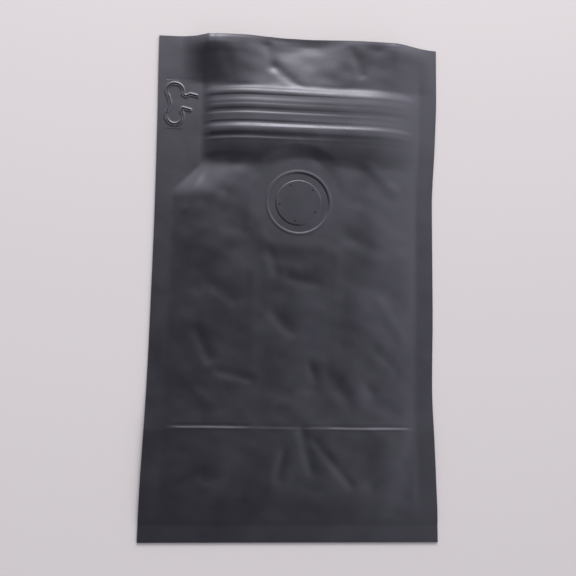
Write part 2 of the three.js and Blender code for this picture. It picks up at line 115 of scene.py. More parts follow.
def make_camera():
    turn = (Matrix.Rotation(math.radians(ROLL), 3, "Z")
            @ Matrix.Rotation(math.radians(TILT_Y), 3, "Y")
            @ Matrix.Rotation(math.radians(TILT_X), 3, "X"))
    flip = Matrix(((1, 0, 0), (0, -1, 0), (0, 0, -1)))
    data = bpy.data.cameras.new("camera")
    data.sensor_width = SENSOR
    data.lens = SENSOR * FOCAL_PIXELS / PICTURE
    data.clip_start = 0.01
    camera = bpy.data.objects.new("camera", data)
    place = -(flip @ turn.transposed() @ OFFSET) * MM
    camera.matrix_world = Matrix.Translation(place) @ (flip @ turn.transposed() @ flip).to_4x4()
    bpy.context.collection.objects.link(camera)
    bpy.context.scene.camera = camera
    return camera


camera = make_camera()
print("camera at", [round(c, 4) for c in camera.location])

# %% [markdown]
# The bag lies on a pale matte table. One large plane is enough for it, a hair
# below the bag, so that the two never share a surface.

# %% Table
FLOOR_SIZE, FLOOR_DROP = 4, 0.00002
FLOOR_COLOR = (0.87, 0.82, 0.80, 1)
FLOOR_ROUGHNESS, FLOOR_SHINE = 0.9, 0.1


def nodes_of(owner):
    owner.use_nodes = True
    return owner.node_tree.nodes, owner.node_tree.links


def make_floor():
    bpy.ops.object.select_all(action="DESELECT")
    bpy.ops.mesh.primitive_plane_add(size=FLOOR_SIZE, location=(0, 0, -FLOOR_DROP))
    floor = bpy.context.object
    floor.name = "floor"
    material = bpy.data.materials.new("floor")
    shader = nodes_of(material)[0]["Principled BSDF"]
    shader.inputs["Base Color"].default_value = FLOOR_COLOR
    shader.inputs["Roughness"].default_value = FLOOR_ROUGHNESS
    shader.inputs["Specular IOR Level"].default_value = FLOOR_SHINE
    floor.data.materials.append(material)


make_floor()
print("table", FLOOR_SIZE, "m across")

# %% [markdown]
# Matte black film is drawn by what it reflects. The room's light grows towards
# the far side, and one broad window beyond the mouth makes every slope that
# faces it bright. Small lamps would leave hard spots on the ridges instead.

# %% Light
ROOM_BASE, ROOM_COLOR = 0.12, (0.95, 0.95, 1.04)
ROOM_LIGHT = [("Y", 0.12, 0.7, 1.0), ("X", 0.0, 0.6, 0.62)]
WINDOW_POWER, WINDOW_COLOR = 3.7, (1, 0.985, 1)
WINDOW_PLACE, WINDOW_TARGET = Vector((0.02, 0.74, 0.48)), Vector((0, 0.03, 0))
WINDOW_WIDTH, WINDOW_HEIGHT = 0.50, 0.30


def make_room():
    """Even light from all round, and more of it from the window's side."""
    world = bpy.data.worlds.new("world")
    bpy.context.scene.world = world
    nodes, links = nodes_of(world)
    direction = nodes.new("ShaderNodeSeparateXYZ")
    links.new(nodes.new("ShaderNodeTexCoord").outputs["Generated"], direction.inputs["Vector"])
    base = nodes.new("ShaderNodeValue")
    base.outputs["Value"].default_value = ROOM_BASE
    strength = base.outputs["Value"]
    for axis, low, high, amount in ROOM_LIGHT:
        ramp = nodes.new("ShaderNodeMapRange")
        ramp.interpolation_type = "SMOOTHSTEP"
        for name, number in (("From Min", low), ("From Max", high), ("To Min", 0.0), ("To Max", amount)):
            ramp.inputs[name].default_value = number
        links.new(direction.outputs[axis], ramp.inputs["Value"])
        add = nodes.new("ShaderNodeMath")
        links.new(strength, add.inputs[0])
        links.new(ramp.outputs["Result"], add.inputs[1])
        strength = add.outputs["Value"]
    nodes["Background"].inputs["Color"].default_value = (*ROOM_COLOR, 1)
    links.new(strength, nodes["Background"].inputs["Strength"])


def make_window():
    data = bpy.data.lights.new("window", "AREA")
    data.shape = "RECTANGLE"
    data.size, data.size_y = WINDOW_WIDTH, WINDOW_HEIGHT
    data.energy = WINDOW_POWER
    data.color = WINDOW_COLOR
    light = bpy.data.objects.new("window", data)
    light.location = WINDOW_PLACE
    light.rotation_euler = (WINDOW_TARGET - WINDOW_PLACE).to_track_quat("-Z", "Y").to_euler()
    bpy.context.collection.objects.link(light)


make_room()
make_window()
bpy.context.scene.view_settings.view_transform = "Standard"
print("window", WINDOW_POWER, "W at", tuple(round(c, 2) for c in WINDOW_PLACE))

# %% [markdown]
# Where the bottom is folded in there are eight plies, and only four above that
# fold, so the front panel steps down there: that step is the crease across the
# whole bag. A line of points along the bag says how much of the stack is there.

# %% The folded-in stack
FOLDED_PLIES = 4
STACK_RAMP, FOLD_START, FOLD_DROP = 1.6, 0.5, 16.0
TUCK_START = BOTTOM_SEAL + 7.5
STACK = [
    (BOTTOM_SEAL, 0), (BOTTOM_SEAL + STACK_RAMP, 0.5), (BOTTOM_SEAL + 4, 0.74), (TUCK_START, 1),
    (FOLD_LINE + FOLD_START, 1), (FOLD_LINE + FOLD_START + FOLD_DROP / 2, 0.4),
    (FOLD_LINE + FOLD_START + FOLD_DROP, 0),
]


def folded_in(v):
    """Height that the folded bottom and gussets add under the front panel."""
    return FOLDED_PLIES * PLY * np.interp(v, [p[0] for p in STACK], [p[1] for p in STACK])


print("stack lifts the front panel by", FOLDED_PLIES * PLY, "mm")

# %% [markdown]
# At the mouth the film springs open in two waves with a lower middle between
# them. One curve across the bag gives the waves and one along it lets them grow
# towards the edge, with a small droop at the lip.

# %% The open mouth
MOUTH = [
    (0, 0), (0.08, 0.4), (0.13, 2.0), (0.175, 4.9), (0.22, 5.6), (0.30, 5.6), (0.38, 4.4), (0.46, 3.5),
    (0.53, 3.5), (0.6, 4.2), (0.67, 5.1), (0.74, 5.5), (0.84, 5.6), (0.91, 3.0), (0.955, 1.0), (1, 0),
]
LIP = [(-20, 0), (-16, 0.16), (-12, 0.38), (-8, 0.64), (-5, 0.86), (-3, 0.93), (-1.5, 0.92), (0, 0.84)]


def mouth_lift(u, v):
    return through(MOUTH, u / BAG_WIDTH) * through(LIP, v - BAG_LENGTH)


print("mouth lifts by up to", max(height for _, height in MOUTH), "mm")

# %% [markdown]
# Seals are pressed flat and stiff. They run down both sides and are wider at the
# left by the zipper, where the pull tab sits. Between them the film is pillowed
# by the zipper and the valve, which are thick pieces held inside.

# %% Seals and pillow
RISE = [
    (BOTTOM_SEAL, 0), (BOTTOM_SEAL + 12, 1.2), (FOLD_LINE + 1, 1.2), (VALVE[1] - 37, 2.3),
    (VALVE[1] - 12, 3.45), (VALVE[1] + 14, 3.65), (ZIPPER_BASE + 5.2, 4.8), (BAG_LENGTH, 4.8),
]
BODY_SHOULDER, ZIPPER_SHOULDER, SHOULDER_RUN = 26.0, 22.0, (40, 5)
TAB_SEAL_RUN = (17, 1)
PINCH_HEIGHT, PINCH_OFFSET, PINCH_WIDTH = 0.32, 1.3, 0.8


def seal_left(v):
    start, end = TAB_SEAL_RUN
    return SIDE_SEAL + (TAB_SEAL - SIDE_SEAL) * smooth(v, ZIPPER_BASE - start, ZIPPER_BASE - end)


def inset(u, v):
    """Distance into the pillowed area from the seals."""
    return np.minimum(u - seal_left(v), SEAL_RIGHT - u)


def pillow(u, v):
    start, end = SHOULDER_RUN
    nearness = smooth(v, ZIPPER_BASE - start, ZIPPER_BASE - end)
    shoulder = BODY_SHOULDER + (ZIPPER_SHOULDER - BODY_SHOULDER) * nearness
    share = np.clip(inset(u, v) / shoulder, 0, 1)
    return through(RISE, v) * share * (2 - share) * (1 - np.minimum(1, through(LIP, v - BAG_LENGTH)))


def seal_ridge(u, v):
    """The wide seal's die left a pinched edge beside the zipper and up to the mouth."""
    across = np.exp(-((u - TAB_SEAL - PINCH_OFFSET) / PINCH_WIDTH) ** 2)
    return PINCH_HEIGHT * across * smooth(v, ZIPPER_TOP - 2, ZIPPER_TOP + 3)


print("wide seal", TAB_SEAL, "mm, pillow up to", max(rise for _, rise in RISE), "mm")

# %% [markdown]
# The zipper and the tear band show through the film as long ridges. Their
# cross-section is one curve through the crests and hollows that the photo
# shows. At the left they are sharp, and towards the right the film bridges them,
# so the curve fades there into a plain hump.

# %% Ridges of the zipper
RELIEF = [
    (-13, 0), (-11.2, 0.14), (-9, 0.62), (-6.2, 0.78), (-4.6, 0.92), (-3.8, 1.0), (-2.9, 0.84),
    (-2.4, 0.86), (-0.95, 1.54), (0, 1.62), (0.95, 1.54), (2.4, 0.92), (3.1, 0.9), (3.9, 1.1),
    (6.5, 1.08), (7.4, 0.82), (8.2, 0.84), (9.2, 1.12), (10.1, 1.16), (10.9, 1.04), (11.7, 1.02),
    (13.3, 0.76), (14.2, 0.72), (15.0, 0.96), (15.9, 0.98), (18.2, 0.08), (19.4, 0),
]
HUMP = [
    (-14, 0), (-8.6, 0.7), (-5, 1.12), (-1, 1.62), (1, 1.62), (3, 1.36), (6, 1.2), (12, 1.18),
    (15, 0.98), (19.4, 0),
]
BRIDGED_LEAST, BRIDGED_MORE = 0.3, 0.55
BRIDGED_FROM, BRIDGED_TO = 36, 88
RELIEF_RAMP, RELIEF_FADE = 4.0, 9.0


def emboss_height(u, v):
    """The zipper's ridges, sharp at the left and filled in towards the right."""
    ridges = through(RELIEF, v - ZIPPER_LINE)
    bridged = BRIDGED_LEAST + BRIDGED_MORE * smooth(u, BRIDGED_FROM, BRIDGED_TO)
    ridges = ridges + bridged * (through(HUMP, v - ZIPPER_LINE) - ridges)
    left_end = smooth(u - seal_left(v), -0.3, RELIEF_RAMP)
    return ridges * left_end * smooth(SEAL_RIGHT - u, -1, RELIEF_FADE)


print("zipper ridges up to", max(height for _, height in RELIEF), "mm")

# %% [markdown]
# The valve is welded under the film, which is held flat over its flange. The
# weld is a ring that is pressed down, with a low rim outside it.

# %% Ring of the valve, and the panel as a whole
RING_DEPTH, RIM_HEIGHT, RIM_WIDTH = 0.34, 0.10, 0.5


def valve_reach(u, v):
    return np.hypot(u - VALVE[0], v - VALVE[1])


def valve_ring(reach):
    inside = smooth(reach, CUP_RADIUS - 0.25, CUP_RADIUS + 0.15)
    outside = 1 - smooth(reach, FLANGE_RADIUS - 0.4, FLANGE_RADIUS + 0.05)
    rim = np.exp(-((reach - FLANGE_RADIUS - RIM_WIDTH) / RIM_WIDTH) ** 2) * RIM_HEIGHT
    return rim - RING_DEPTH * inside * outside


def panel_height(u, v):
    """Middle of the front panel's film, without its wrinkles."""
    height = (level(3) + folded_in(v) + pillow(u, v) + emboss_height(u, v)
              + mouth_lift(u, v) + seal_ridge(u, v))
    reach = valve_reach(u, v)
    held = 1 - smooth(reach, FLAT_RADIUS, FLAT_RADIUS + VALVE_RELEASE)
    return height * (1 - held) + VALVE_FILM * held + valve_ring(reach)


print("middle of the mouth at", round(float(panel_height(BAG_WIDTH / 2, BAG_LENGTH)), 2), "mm")

# %% [markdown]
# Handling leaves soft folds, dents and pinched streaks in film. A cloth brush
# could draw them by hand. Here each is one short line with a width and a height,
# read from the photo, so that each can be moved or softened by itself.

# %% Wrinkles and dents: start, end, width, height
WRINKLES = [
    ((55, 160), (64, 144.5), 1.5, 0.42), ((60.5, 158), (66.5, 145), 1.1, -0.28),
    ((64.5, 160), (69, 147.5), 1.5, 0.22), ((20.5, 148), (12.5, 128), 1.6, 0.30),
    ((12.5, 128), (10.5, 112), 1.5, 0.16), ((43, 150), (38, 122), 2.0, 0.30),
    ((19, 80), (24, 69), 2.2, -0.45), ((28, 64.5), (40, 61.8), 1.8, -0.40),
    ((47, 112), (49.5, 104), 2.0, -0.30), ((55, 102), (66, 99.5), 2.2, -0.34),
    ((49, 87), (56, 80), 2.4, -0.36), ((64, 67), (66, 62), 1.8, -0.30),
    ((72, 64), (80, 52), 3.4, -0.5), ((87, 59), (89, 57), 2.0, -0.3),
    ((40.7, 104), (40.7, 60), 2.2, 0.10), ((73.6, 112), (73.6, 60), 2.2, 0.10),
    ((54, 34), (52, 24), 1.8, -0.34), ((61, 42), (65, 27), 2.2, -0.40),
    ((66, 38), (80, 22), 1.6, -0.34), ((10, 20), (23, 26), 1.7, -0.26),
    ((24, 20), (31, 22.5), 1.6, 0.24), ((57, 179.5), (47, 187.5), 2.2, -0.40),
    ((47, 187.5), (44, 196), 2.0, -0.30), ((88, 22), (101, 30), 1.8, -0.22),
    ((84, 150), (98, 138), 2.2, 0.22), ((78, 118), (96, 112), 2.6, -0.22),
    ((22, 100), (33, 92), 2.4, -0.24), ((16, 60), (25, 52), 2.0, 0.22),
    ((92, 92), (101, 80), 2.4, 0.24), ((90, 74), (99, 66), 2.0, -0.22),
    ((31, 147), (28, 136), 1.8, -0.22), ((83, 186), (79, 196), 2.0, -0.26),
    ((30, 184), (27, 193), 2.2, -0.22),
]
WRINKLE_SHARE = 0.8


def away_from(u, v, start, end):
    """Distance of places from the straight stretch between two points."""
    (x0, y0), (x1, y1) = start, end
    dx, dy = x1 - x0, y1 - y0
    t = np.clip(((u - x0) * dx + (v - y0) * dy) / (dx * dx + dy * dy), 0, 1)
    return np.hypot(u - x0 - t * dx, v - y0 - t * dy)


def wrinkle_height(u, v):
    total = np.zeros_like(u)
    for start, end, width, height in WRINKLES:
        away = away_from(u, v, start, end) / width
        total += WRINKLE_SHARE * height * np.exp(-away * away)
    return total


print(len(WRINKLES), "wrinkles and dents")

# %% [markdown]
# Between the folds the film isn't flat either. A sum of long and short waves in
# random directions gives it soft hills. The same seeds are used each time, so
# the bag looks the same each time.

# %% Soft hills
WAVES = 22
HILLS = [(0.16, 24, 3), (0.045, 9, 5)]


def soft_noise(u, v, pitch, seed):
    """Smooth random hills about pitch millimetres apart."""
    rng = np.random.default_rng(seed)
    total = np.zeros_like(u)
    for _ in range(WAVES):
        heading = rng.uniform(0, 2 * math.pi)
        turn = 2 * math.pi / (pitch * rng.uniform(0.7, 1.6))
        total += np.sin(turn * (u * math.cos(heading) + v * math.sin(heading)) + rng.uniform(0, 2 * math.pi))
    return total / WAVES ** 0.5


print("hills", [f"{height} mm high, {pitch} mm apart" for height, pitch, _ in HILLS])

# %% [markdown]
# The fold of the bottom also prints a thin ridge through the front panel, with a
# shallow hollow behind it. It wanders a little and is fainter in the middle,
# where the gussets don't reach.

# %% Crease, and the front panel with all its wrinkles
CREASE_OFFSET, CREASE_WANDER, WANDER_PITCH, WANDER_SEED = 1.2, 0.12, 30, 8
CREASE_HEIGHT, CREASE_WIDTH = 0.16, 0.45
HOLLOW_DEPTH, HOLLOW_WIDTH, HOLLOW_OFFSET = 0.1, 0.6, 1.1
FAINT_SHARE, FAINT_START, FAINT_END, FAINT_RUN = 0.6, 38, 74, 4
ZIPPER_HOLD = 0.85


def crease_height(u, v):
    beyond = v - FOLD_LINE - CREASE_OFFSET - CREASE_WANDER * soft_noise(u, v * 0, WANDER_PITCH, WANDER_SEED)
    faint = smooth(u, FAINT_START, FAINT_START + FAINT_RUN)
    faint = faint * (1 - smooth(u, FAINT_END - FAINT_RUN, FAINT_END))
    ridge = CREASE_HEIGHT * np.exp(-(beyond / CREASE_WIDTH) ** 2)
    hollow = HOLLOW_DEPTH * np.exp(-((beyond - HOLLOW_OFFSET) / HOLLOW_WIDTH) ** 2)
    return (1 - FAINT_SHARE * faint) * (ridge - hollow)


def looseness(u, v):
    """Share of the wrinkles at a place: none at seals and valve, little on the zipper."""
    share = smooth(inset(u, v), 0.5, 6) * smooth(v, BOTTOM_SEAL, BOTTOM_SEAL + 4)
    share = share * (1 - smooth(v, BAG_LENGTH - 4, BAG_LENGTH))
    share = share * smooth(valve_reach(u, v), FLAT_RADIUS - 1, FLAT_RADIUS + 4)
    in_zipper = smooth(v, ZIPPER_BASE - 2, ZIPPER_BASE + 1) * (1 - smooth(v, ZIPPER_TOP - 1, ZIPPER_TOP + 2))
    return share * (1 - ZIPPER_HOLD * in_zipper)


def front_height(u, v):
    wrinkles = wrinkle_height(u, v)
    for height, pitch, seed in HILLS:
        wrinkles = wrinkles + height * soft_noise(u, v, pitch, seed)
    wrinkles = wrinkles + crease_height(u, v)
    return panel_height(u, v) + looseness(u, v) * wrinkles


print("crease", FOLD_LINE + CREASE_OFFSET, "mm from the bottom edge")

# %% [markdown]
# Each film piece starts as a grid primitive and takes its places from the
# functions above. A solidify modifier gives it the laminate's thickness, with
# the inner layer in a second material slot. Extruding each sheet by hand would
# do the same, with more steps.

# %% Film sheet from a grid of points
LEFT_PULL = [(0, -0.5), (0.1, -0.25), (0.25, 0.6), (0.38, 1), (0.6, 1.2), (0.8, 0.9), (1, 0.3)]
RIGHT_PULL = [(0, 0), (0.13, 0.8), (0.3, 1.9), (0.45, 1.5), (0.66, 1.6), (0.8, 0.2), (0.9, -0.5), (1, -0.5)]
SMOOTH_ANGLE = math.radians(50)


def drawn_in(u, v):
    """The collapsed bag's sides are drawn in along its middle."""
    share = 2 * u / BAG_WIDTH - 1
    pull = np.where(share < 0, through(LEFT_PULL, v / BAG_LENGTH), -through(RIGHT_PULL, v / BAG_LENGTH))
    return u + pull * share * share


def thicken(piece, inner_slot=0, rim_slot=0):
    """Gives a sheet the laminate's thickness, half of it to each side."""
    thick = piece.modifiers.new("thickness", "SOLIDIFY")
    thick.thickness, thick.offset = FILM * MM, 0
    thick.material_offset, thick.material_offset_rim = inner_slot, rim_slot
    bpy.ops.object.modifier_apply(modifier=thick.name)


def bent_grid(name, points, outer, inner):
    """Grid primitive with its corners put at rows of points, in millimetres."""
    rows, columns = points.shape[:2]
    bpy.ops.object.select_all(action="DESELECT")
    bpy.ops.mesh.primitive_grid_add(x_subdivisions=columns - 1, y_subdivisions=rows - 1, size=1)
    sheet = bpy.context.object
    sheet.name = name
    sheet.data.vertices.foreach_set("co", (points * MM).reshape(-1))
    sheet.data.update()
    sheet.data.materials.append(outer)
    sheet.data.materials.append(inner)
    return sheet


def film_grid(name, u, v, height, outer, inner, flip=False):
    points = np.stack([drawn_in(u, v) - BAG_WIDTH / 2, v - BAG_LENGTH / 2, height], axis=-1)
    sheet = bent_grid(name, points, outer, inner)
    if flip:
        sheet.data.flip_normals()
    thicken(sheet, inner_slot=1, rim_slot=1)
    bpy.ops.object.shade_smooth_by_angle(angle=SMOOTH_ANGLE)
    print(name, len(sheet.data.vertices), "points")
    return sheet


def film_sheet(name, u, v, height, outer, inner, node, flip=False):
    sheet = film_grid(name, u, v, height, outer, inner, flip)
    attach(sheet, "pouch")
    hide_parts(node)
    return sheet


def lines(*stretches):
    """Grid lines: each stretch is (end, pitch), starting from 0."""
    places = [0.0]
    for end, pitch in stretches:
        count = max(1, round((end - places[-1]) / pitch))
        places += list(places[-1] + (end - places[-1]) * (np.arange(count) + 1) / count)
    return np.array(places)


# %% [markdown]
# Procedural finishes are built from a few nodes: noise, a range that is mapped
# to another, a mix of two colours and a bump. A small function for each keeps
# the materials short.

# %% Nodes that the finishes share
def noise(nodes, links, scale, detail, coordinates):
    texture = nodes.new("ShaderNodeTexNoise")
    texture.inputs["Scale"].default_value = scale
    texture.inputs["Detail"].default_value = detail
    links.new(coordinates, texture.inputs["Vector"])
    return texture.outputs["Fac"]


def mapped(nodes, links, value, to_low, to_high):
    """Stretches noise, which stays near its middle, to a range of its own."""
    node = nodes.new("ShaderNodeMapRange")
    for name, number in (("From Min", 0.3), ("From Max", 0.7), ("To Min", to_low), ("To Max", to_high)):
        node.inputs[name].default_value = number
    links.new(value, node.inputs["Value"])
    return node.outputs["Result"]


def mixed(nodes, links, amount, low, high):
    node = nodes.new("ShaderNodeMix")
    node.data_type = "RGBA"
    node.inputs["A"].default_value = (*low, 1)
    node.inputs["B"].default_value = (*high, 1)
    links.new(amount, node.inputs["Factor"])
    return node.outputs["Result"]


def add_bump(nodes, links, shader, height, strength, distance, before=None):
    bump = nodes.new("ShaderNodeBump")
    bump.inputs["Strength"].default_value = strength
    bump.inputs["Distance"].default_value = distance
    links.new(height, bump.inputs["Height"])
    if before is not None:
        links.new(before, bump.inputs["Normal"])
    links.new(bump.outputs["Normal"], shader.inputs["Normal"])
    return bump.outputs["Normal"]


# %% [markdown]
# Matte black laminate is a dark film with a fine satin grain. It is not one even
# black: the matte lacquer varies a little, and handling leaves faint scuffs. The
# inner side is grey sealing film.

# %% Materials of the laminate
CLOUD_SCALE, SCUFF_SCALE, RIPPLE_SCALE, GRAIN_SCALE = 28, 90, 420, 5200
SMOOTHER, ROUGHER = 0.05, 0.06
LACQUER_TINT, LACQUER_IOR = (0.93, 0.92, 1.0, 1), 1.6
RIPPLE_STRENGTH, RIPPLE_DEPTH = 0.35, 0.00006
GRAIN_STRENGTH, GRAIN_DEPTH = 0.30, 0.000012


def film_material(name, dark, light, roughness, specular):
    material = bpy.data.materials.new(name)
    nodes, links = nodes_of(material)
    shader = nodes["Principled BSDF"]
    place = nodes.new("ShaderNodeTexCoord").outputs["Object"]
    cloud = mapped(nodes, links, noise(nodes, links, CLOUD_SCALE, 4, place), 0, 1)
    links.new(mixed(nodes, links, cloud, dark, light), shader.inputs["Base Color"])
    scuff = noise(nodes, links, SCUFF_SCALE, 6, place)
    scuff = mapped(nodes, links, scuff, roughness - SMOOTHER, roughness + ROUGHER)
    links.new(scuff, shader.inputs["Roughness"])
    shader.inputs["Specular IOR Level"].default_value = specular
    shader.inputs["Specular Tint"].default_value = LACQUER_TINT
    shader.inputs["IOR"].default_value = LACQUER_IOR
    ripple = noise(nodes, links, RIPPLE_SCALE, 3, place)
    grain = noise(nodes, links, GRAIN_SCALE, 2, place)
    rippled = add_bump(nodes, links, shader, ripple, RIPPLE_STRENGTH, RIPPLE_DEPTH)
    add_bump(nodes, links, shader, grain, GRAIN_STRENGTH, GRAIN_DEPTH, rippled)
    return material


outer_film = film_material("matte_black_film", (0.0085, 0.0080, 0.012), (0.0130, 0.0124, 0.019), 0.375, 1.0)
inner_film = film_material("inner_film", (0.20, 0.20, 0.205), (0.27, 0.27, 0.275), 0.42, 0.5)
print("laminate:", outer_film.name, "outside,", inner_film.name, "inside")

# %% [markdown]
# The front panel carries nearly all that is seen: the seals, the folded-in
# bottom, the valve's ring, the zipper's ridges and the wavy mouth. Its grid has
# close lines only where the height changes fast, at the crease, the zipper and
# the mouth, because an even fine grid would be several times as heavy.

# %% Front panel
u_lines = lines((BAG_WIDTH, 1.1))
v_lines = lines((FOLD_LINE - 2, 0.95), (FOLD_LINE + 5, 0.3), (ZIPPER_BASE - 1, 0.95),
                (ZIPPER_TOP + 1, 0.28), (BAG_LENGTH, 0.45))
u_grid, v_grid = np.meshgrid(u_lines, v_lines)
z_grid = front_height(u_grid, v_grid)
front = film_sheet("front_film", u_grid, v_grid, z_grid, outer_film, inner_film, "front_panel")

# %% [markdown]
# Holes and finer patches are put into the panel with boolean modifiers. The
# knife tool would need a window, and a boolean also keeps each film piece one
# closed shell.

# %% Cutters and the boolean
CUTTER_DEPTH = 2


def combine(piece, cutter, operation="DIFFERENCE"):
    bpy.ops.object.select_all(action="DESELECT")
    bpy.context.view_layer.objects.active = piece
    tool = piece.modifiers.new("cut", "BOOLEAN")
    tool.operation = operation
    tool.solver = "MANIFOLD"
    tool.object = cutter
    before = len(piece.data.vertices)
    bpy.ops.object.modifier_apply(modifier=tool.name)
    bpy.data.objects.remove(cutter)
    print(operation, before, "to", len(piece.data.vertices), "points")


def rod_cutter(sides, radius, u, v, height):
    """Round rod that stands through the film."""
    bpy.ops.object.select_all(action="DESELECT")
    bpy.ops.mesh.primitive_cylinder_add(
        vertices=sides, radius=radius * MM, depth=CUTTER_DEPTH * MM, location=bag_point(u, v, height))
    return bpy.context.object


def box_cutter(limits, height):
    """Box that stands through the film, drawn in at the sides as the film is."""
    left, low, right, high = limits
    bpy.ops.object.select_all(action="DESELECT")
    bpy.ops.mesh.primitive_cube_add(size=1)
    cutter = bpy.context.object
    for vertex in cutter.data.vertices:
        u = left if vertex.co.x < 0 else right
        v = low if vertex.co.y < 0 else high
        vertex.co = bag_point(float(drawn_in(u, v)), v, height + CUTTER_DEPTH * vertex.co.z)
    return cutter


# %% [markdown]
# The valve's ring is too fine for the panel's grid. Its place is cut out and
# filled with a round piece of film: a grid bent round like a fan, whose last
# row shrinks to the middle point. Then five pinholes are cut, which let the gas
# reach the valve.

# %% Valve's ring and pinholes
PATCH_RADIUS, PATCH_OVERLAP, PATCH_MIDDLE = 15.5, 0.3, 0.05
PATCH_RINGS, PATCH_SPOKES = 60, 97
MERGE_DISTANCE = 0.005
PINHOLES, PINHOLE_START, PINHOLE_RADIUS, PINHOLE_CIRCLE = 5, 43, 0.3, 7.6


def valve_patch():
    rings = np.linspace(PATCH_RADIUS + PATCH_OVERLAP, PATCH_MIDDLE, PATCH_RINGS)
    rings[-1] = 0
    angles, reach = np.meshgrid(np.linspace(0, 2 * math.pi, PATCH_SPOKES), rings)
    points = np.stack([VALVE[0] + reach * np.cos(angles) - BAG_WIDTH / 2,
                       VALVE[1] + reach * np.sin(angles) - BAG_LENGTH / 2,
                       VALVE_FILM + valve_ring(reach)], axis=-1)
    patch = bent_grid("valve_patch", points, outer_film, inner_film)
    bpy.ops.object.mode_set(mode="EDIT")
    bpy.ops.mesh.select_all(action="SELECT")
    bpy.ops.mesh.remove_doubles(threshold=MERGE_DISTANCE * MM)
    bpy.ops.object.mode_set(mode="OBJECT")
    thicken(patch, inner_slot=1)
    return patch


combine(front, rod_cutter(96, PATCH_RADIUS, *VALVE, VALVE_FILM))
combine(front, valve_patch(), "UNION")
for index in range(PINHOLES):
    angle = math.radians(PINHOLE_START + 360 / PINHOLES * index)
    hole_u = VALVE[0] + PINHOLE_CIRCLE * math.cos(angle)
    hole_v = VALVE[1] + PINHOLE_CIRCLE * math.sin(angle)
    combine(front, rod_cutter(16, PINHOLE_RADIUS, hole_u, hole_v, VALVE_FILM))

# %% [markdown]
# A cut round the pull tab frees it, so that it can be torn off with the band.
# Its line is two round lobes with a waist between them and two short tails. It
# is drawn with arcs, because a hand-placed curve would never be quite round.

# %% Line of the cut round the pull tab
TAB_MIDDLE = BAG_LENGTH - 28.6
TAB_CENTRE, TAB_SPACING, TAB_UPPER, TAB_LOWER, TAB_WAIST = 6.9, 10.2, 3.4, 3.5, 1.75
UPPER_TURN, LOWER_TURN = (-17, 220), (137, 396)
UPPER_TAIL, LOWER_TAIL = [(6, -1.6), (3, -0.9), (1, -1.9)], [(0, 3.4), (3, 2.7)]


def arc(centre, radius, start, end, count=14):
    angles = np.radians(np.linspace(start, end, count))
    return [(centre[0] + radius * math.cos(a), centre[1] + radius * math.sin(a)) for a in angles]


def tab_outline():
    upper, lower = TAB_MIDDLE + TAB_SPACING / 2, TAB_MIDDLE - TAB_SPACING / 2
    reach = TAB_CENTRE + TAB_UPPER
    return ([(reach + across, upper + along) for across, along in UPPER_TAIL]
            + arc((TAB_CENTRE, upper), TAB_UPPER, *UPPER_TURN)
            + [(TAB_CENTRE - TAB_WAIST, TAB_MIDDLE)]
            + arc((TAB_CENTRE, lower), TAB_LOWER, *LOWER_TURN)
            + [(reach + across, lower + along) for across, along in LOWER_TAIL])


def tab_distance(u, v):
    """How far a place is from the cut line."""
    points = tab_outline()
    nearest = np.full_like(u, 99.0)
    for start, end in zip(points, points[1:]):
        nearest = np.minimum(nearest, away_from(u, v, start, end))
    return nearest


print("cut line through", len(tab_outline()), "points")

# %% [markdown]
# The blunt die has raised a rim beside its cut. As at the valve, a finer patch
# of film goes in first and carries the rim. A thin tube bent along the line is
# then subtracted at three heights, which cuts all the way through.

# %% The cut itself
TAB_PATCH, TAB_OVERLAP, TAB_PITCH = (1.3, 161.3, 16.2, 181.1), 0.2, 0.24
RIM_CREST, RIM_OFFSET, RIM_SPREAD = 0.20, 0.42, 0.26
SWELL_CREST, SWELL_SPREAD = 0.05, 0.8
CUT_RADIUS, CUT_HEIGHTS = 0.34, (0.15, 0, -0.12)
TUBE_MERGE = 0.001


def tab_patch():
    left, low, right, high = TAB_PATCH
    u, v = np.meshgrid(left - TAB_OVERLAP + lines((right - left + 2 * TAB_OVERLAP, TAB_PITCH)),
                       low - TAB_OVERLAP + lines((high - low + 2 * TAB_OVERLAP, TAB_PITCH)))
    away = tab_distance(u, v)
    rim = RIM_CREST * np.exp(-((away - RIM_OFFSET) / RIM_SPREAD) ** 2)
    swell = SWELL_CREST * np.exp(-(away / SWELL_SPREAD) ** 2)
    return film_grid("tab_patch", u, v, front_height(u, v) + (rim + swell), outer_film, inner_film)


def tab_tube(radius, height):
    """Thin tube along the cut line, from a curve with a round bevel."""
    curve = bpy.data.curves.new("tab_cut", "CURVE")
    curve.dimensions = "3D"
    curve.bevel_depth = radius * MM
    curve.bevel_resolution = 2
    curve.use_fill_caps = True
    points = tab_outline()
    spline = curve.splines.new("POLY")
    spline.points.add(len(points) - 1)
    for point, (u, v) in zip(spline.points, points):
        point.co = (*bag_point(float(drawn_in(u, v)), v, height), 1)
    tube = bpy.data.objects.new("tab_cut", curve)
    bpy.context.collection.objects.link(tube)
    bpy.ops.object.select_all(action="DESELECT")
    tube.select_set(True)
    bpy.context.view_layer.objects.active = tube
    bpy.ops.object.convert(target="MESH")
    bpy.ops.object.mode_set(mode="EDIT")
    bpy.ops.mesh.select_all(action="SELECT")
    bpy.ops.mesh.remove_doubles(threshold=TUBE_MERGE * MM)
    bpy.ops.mesh.normals_make_consistent(inside=False)
    bpy.ops.object.mode_set(mode="OBJECT")
    return bpy.context.object


combine(front, box_cutter(TAB_PATCH, level(3)))
combine(front, tab_patch(), "UNION")
for offset in CUT_HEIGHTS:
    combine(front, tab_tube(CUT_RADIUS, level(3) + offset))

# %% [markdown]
# The back panel lies flat on the table. It is nearly plain, so the grid only
# needs enough lines for the drawn-in sides.

